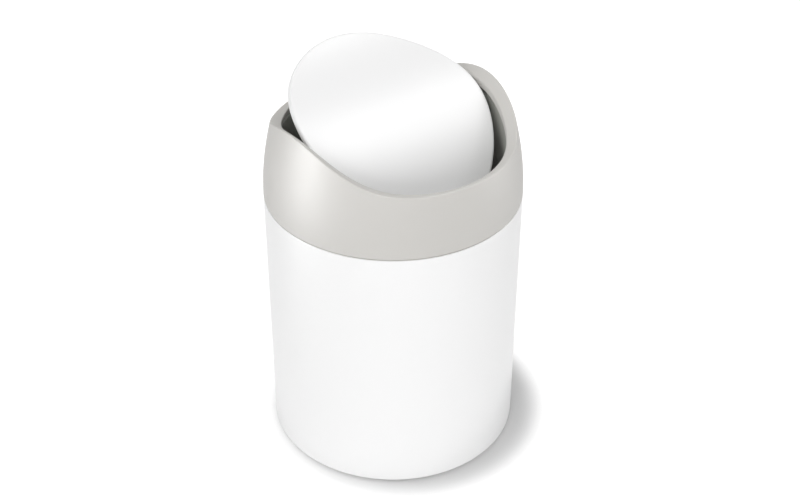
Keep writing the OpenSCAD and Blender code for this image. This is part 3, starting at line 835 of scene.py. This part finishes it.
def makeCoverScrews():
    head, tall, r = screw["head"], screw["headTall"], screw["radius"]
    reach, half, low = screw["slotReach"], screw["slotHalf"], screw["slotLow"]
    one = turned([
        (0, -tall, 0), (head / 2, -tall, screw["crownRound"]),
        (head, -tall / 2, screw["sideRound"]), (head, 0, screw["seatRound"]),
        (r, 0, screw["neckRound"]), (r, screw["shank"], screw["tipRound"]),
        (0, screw["tip"], 0)], screw["steps"], closed=False)
    places = [place @ at(0, 0, screw["seat"]) for place in screwPlaces()]
    mesh = bmesh.new()
    add(mesh, one, *places)
    piece = finished("coverScrews", mesh)
    floor = screw["slotDeep"] - tall
    cross = block((-reach, -half, low), (reach, half, floor), 0)
    add(cross, block((-half, -reach, low), (half, reach, floor), 0))
    slots = bmesh.new()
    add(slots, cross, *places)
    cutBy(piece, slots)
    piece.data.transform(lidPlace)
    return piece


stillFor(makeCounterweight(), "lid", "weight_steel", finishes["weightSteel"], "counterweight")
stillFor(makeWeightCover(), "lid", "white_plastic", finishes["whitePlastic"], "weight_cover")
stillFor(makeCoverScrews(), "lid", "rod_steel", finishes["rodSteel"], "cover_screws")
print("counterweight made")

# the floor: how bright it is for the light, how bright it is seen (darker: painted shade at the
# can), and where it fades to white
ground = dict(size=6, light=0.93, seen=0.78, rough=0.9, specular=0.1, white=1.25,
              centre=(5, -4, 0), fadeStart=58, fadeEnd=81)
studio = dict(light=0.42, seen=1)
# lamps stand at places in metres and aim at heights on the can's axis
lamps = dict(
    top=dict(place=(-0.07, 0.1, 1.6), aim=0.1, size=(0.16, 0.16), watts=5.5),
    overhead=dict(place=(-0.35, 0.1, 1.3), aim=0.1, size=(1.4, 1.4), watts=1.4),
    key=dict(place=(-0.8, -0.92, 0.4), aim=0.1, size=(0.8, 0.6), watts=5.1),
    front=dict(place=(-0.3, -0.75, 1.1), aim=0.17, size=(0.8, 0.6), watts=0.7),
    fill=dict(place=(0.54, -1.08, 0.4), aim=0.1, size=(0.8, 0.6), watts=1),
    leftStrip=dict(place=(-1.02, 0.38, 0.1), aim=0.1, size=(0.22, 0.2), watts=28, glossOnly=True),
    rightStrip=dict(place=(0.94, -0.57, 0.12), aim=0.12, size=(0.25, 0.24), watts=8,
                    glossOnly=True),
    softbox=dict(place=(0.625, -0.29, 1.21), aim=0.17, size=(1, 0.8), watts=7, glossOnly=True))
view = dict(place=(-0.3436, -0.4671, 0.5032), turn=(54.82, 0, -36.34), lens=65.7, sensor=36,
            shift=0.0085)


def makeFloorPaint():
    # the camera and glossy rays see the floor darker at the can, a painted shade, and fading to
    # white away from it
    made = bpy.data.materials.new("floorPaint")
    made.use_nodes = True
    tree = made.node_tree
    shader = tree.nodes["Principled BSDF"]
    shader.inputs["Roughness"].default_value = ground["rough"]
    shader.inputs["Specular IOR Level"].default_value = ground["specular"]
    # darker tone for camera and glossy rays: painted shade that deepens the can's shadow
    shadeTone = tree.nodes.new("ShaderNodeMix")
    shadeTone.data_type = "RGBA"
    shadeTone.inputs[6].default_value = grey(ground["light"])
    shadeTone.inputs[7].default_value = grey(ground["seen"])
    glow = tree.nodes.new("ShaderNodeEmission")
    glow.inputs["Strength"].default_value = ground["white"]
    place = tree.nodes.new("ShaderNodeTexCoord")
    # the fade is centred a little off the can's axis, which shapes where the painted shade shows
    shift = tree.nodes.new("ShaderNodeVectorMath")
    shift.operation = "SUBTRACT"
    shift.inputs[1].default_value = Vector(ground["centre"]) * mm
    away = tree.nodes.new("ShaderNodeVectorMath")
    away.operation = "LENGTH"
    fade = tree.nodes.new("ShaderNodeMapRange")
    fade.interpolation_type = "SMOOTHSTEP"
    fade.inputs["From Min"].default_value = ground["fadeStart"] * mm
    fade.inputs["From Max"].default_value = ground["fadeEnd"] * mm
    rays = tree.nodes.new("ShaderNodeLightPath")
    either = mathNode(tree, "MAXIMUM", rays.outputs["Is Camera Ray"],
                      rays.outputs["Is Glossy Ray"])
    share = mathNode(tree, "MULTIPLY", either, fade.outputs["Result"])
    mix = tree.nodes.new("ShaderNodeMixShader")
    tree.links.new(place.outputs["Object"], shift.inputs[0])
    tree.links.new(shift.outputs[0], away.inputs[0])
    tree.links.new(away.outputs["Value"], fade.inputs["Value"])
    tree.links.new(either, shadeTone.inputs[0])
    tree.links.new(shadeTone.outputs[2], shader.inputs["Base Color"])
    tree.links.new(share, mix.inputs["Fac"])
    tree.links.new(shader.outputs[0], mix.inputs[1])
    tree.links.new(glow.outputs[0], mix.inputs[2])
    tree.links.new(mix.outputs[0], tree.nodes["Material Output"].inputs["Surface"])
    return made


def makeStage():
    mesh = bmesh.new()
    bmesh.ops.create_grid(mesh, x_segments=1, y_segments=1, size=ground["size"])
    floor = finished("floor", mesh)
    floor.data.materials.append(makeFloorPaint())


def makeLamp(name, place, aim, size, watts, glossOnly=False):
    data = bpy.data.lights.new(name, "AREA")
    data.shape = "RECTANGLE"
    data.size, data.size_y = size
    data.energy = watts
    lamp = bpy.data.objects.new(name, data)
    bpy.context.scene.collection.objects.link(lamp)
    lamp.location = place
    lamp.rotation_euler = (Vector((0, 0, aim)) - Vector(place)).to_track_quat("-Z", "Y").to_euler()
    lamp.visible_camera = False
    lamp.visible_diffuse = not glossOnly


def makeWorld():
    # soft light from all round; camera, glossy and transmission rays see plain white
    world = bpy.data.worlds.new("studio")
    bpy.context.scene.world = world
    world.use_nodes = True
    tree = world.node_tree
    room = tree.nodes["Background"]
    seen = tree.nodes.new("ShaderNodeBackground")
    for node, strength in ((room, studio["light"]), (seen, studio["seen"])):
        node.inputs["Color"].default_value = grey(1)
        node.inputs["Strength"].default_value = strength
    rays = tree.nodes.new("ShaderNodeLightPath")
    either = mathNode(tree, "MAXIMUM", rays.outputs["Is Camera Ray"],
                      rays.outputs["Is Glossy Ray"])
    through = mathNode(tree, "MAXIMUM", either, rays.outputs["Is Transmission Ray"])
    mix = tree.nodes.new("ShaderNodeMixShader")
    tree.links.new(through, mix.inputs["Fac"])
    tree.links.new(room.outputs[0], mix.inputs[1])
    tree.links.new(seen.outputs[0], mix.inputs[2])
    tree.links.new(mix.outputs[0], tree.nodes["World Output"].inputs["Surface"])


def makeCamera():
    data = bpy.data.cameras.new("camera")
    data.lens, data.sensor_width, data.shift_x = view["lens"], view["sensor"], view["shift"]
    camera = bpy.data.objects.new("camera", data)
    bpy.context.scene.collection.objects.link(camera)
    camera.location = view["place"]
    camera.rotation_euler = Euler([math.radians(t) for t in view["turn"]])
    bpy.context.scene.camera = camera


makeStage()
makeWorld()
for name, values in lamps.items():
    makeLamp(name, **values)
makeCamera()
bpy.context.scene.view_settings.view_transform = "Standard"
print("stage, lamps and camera made")
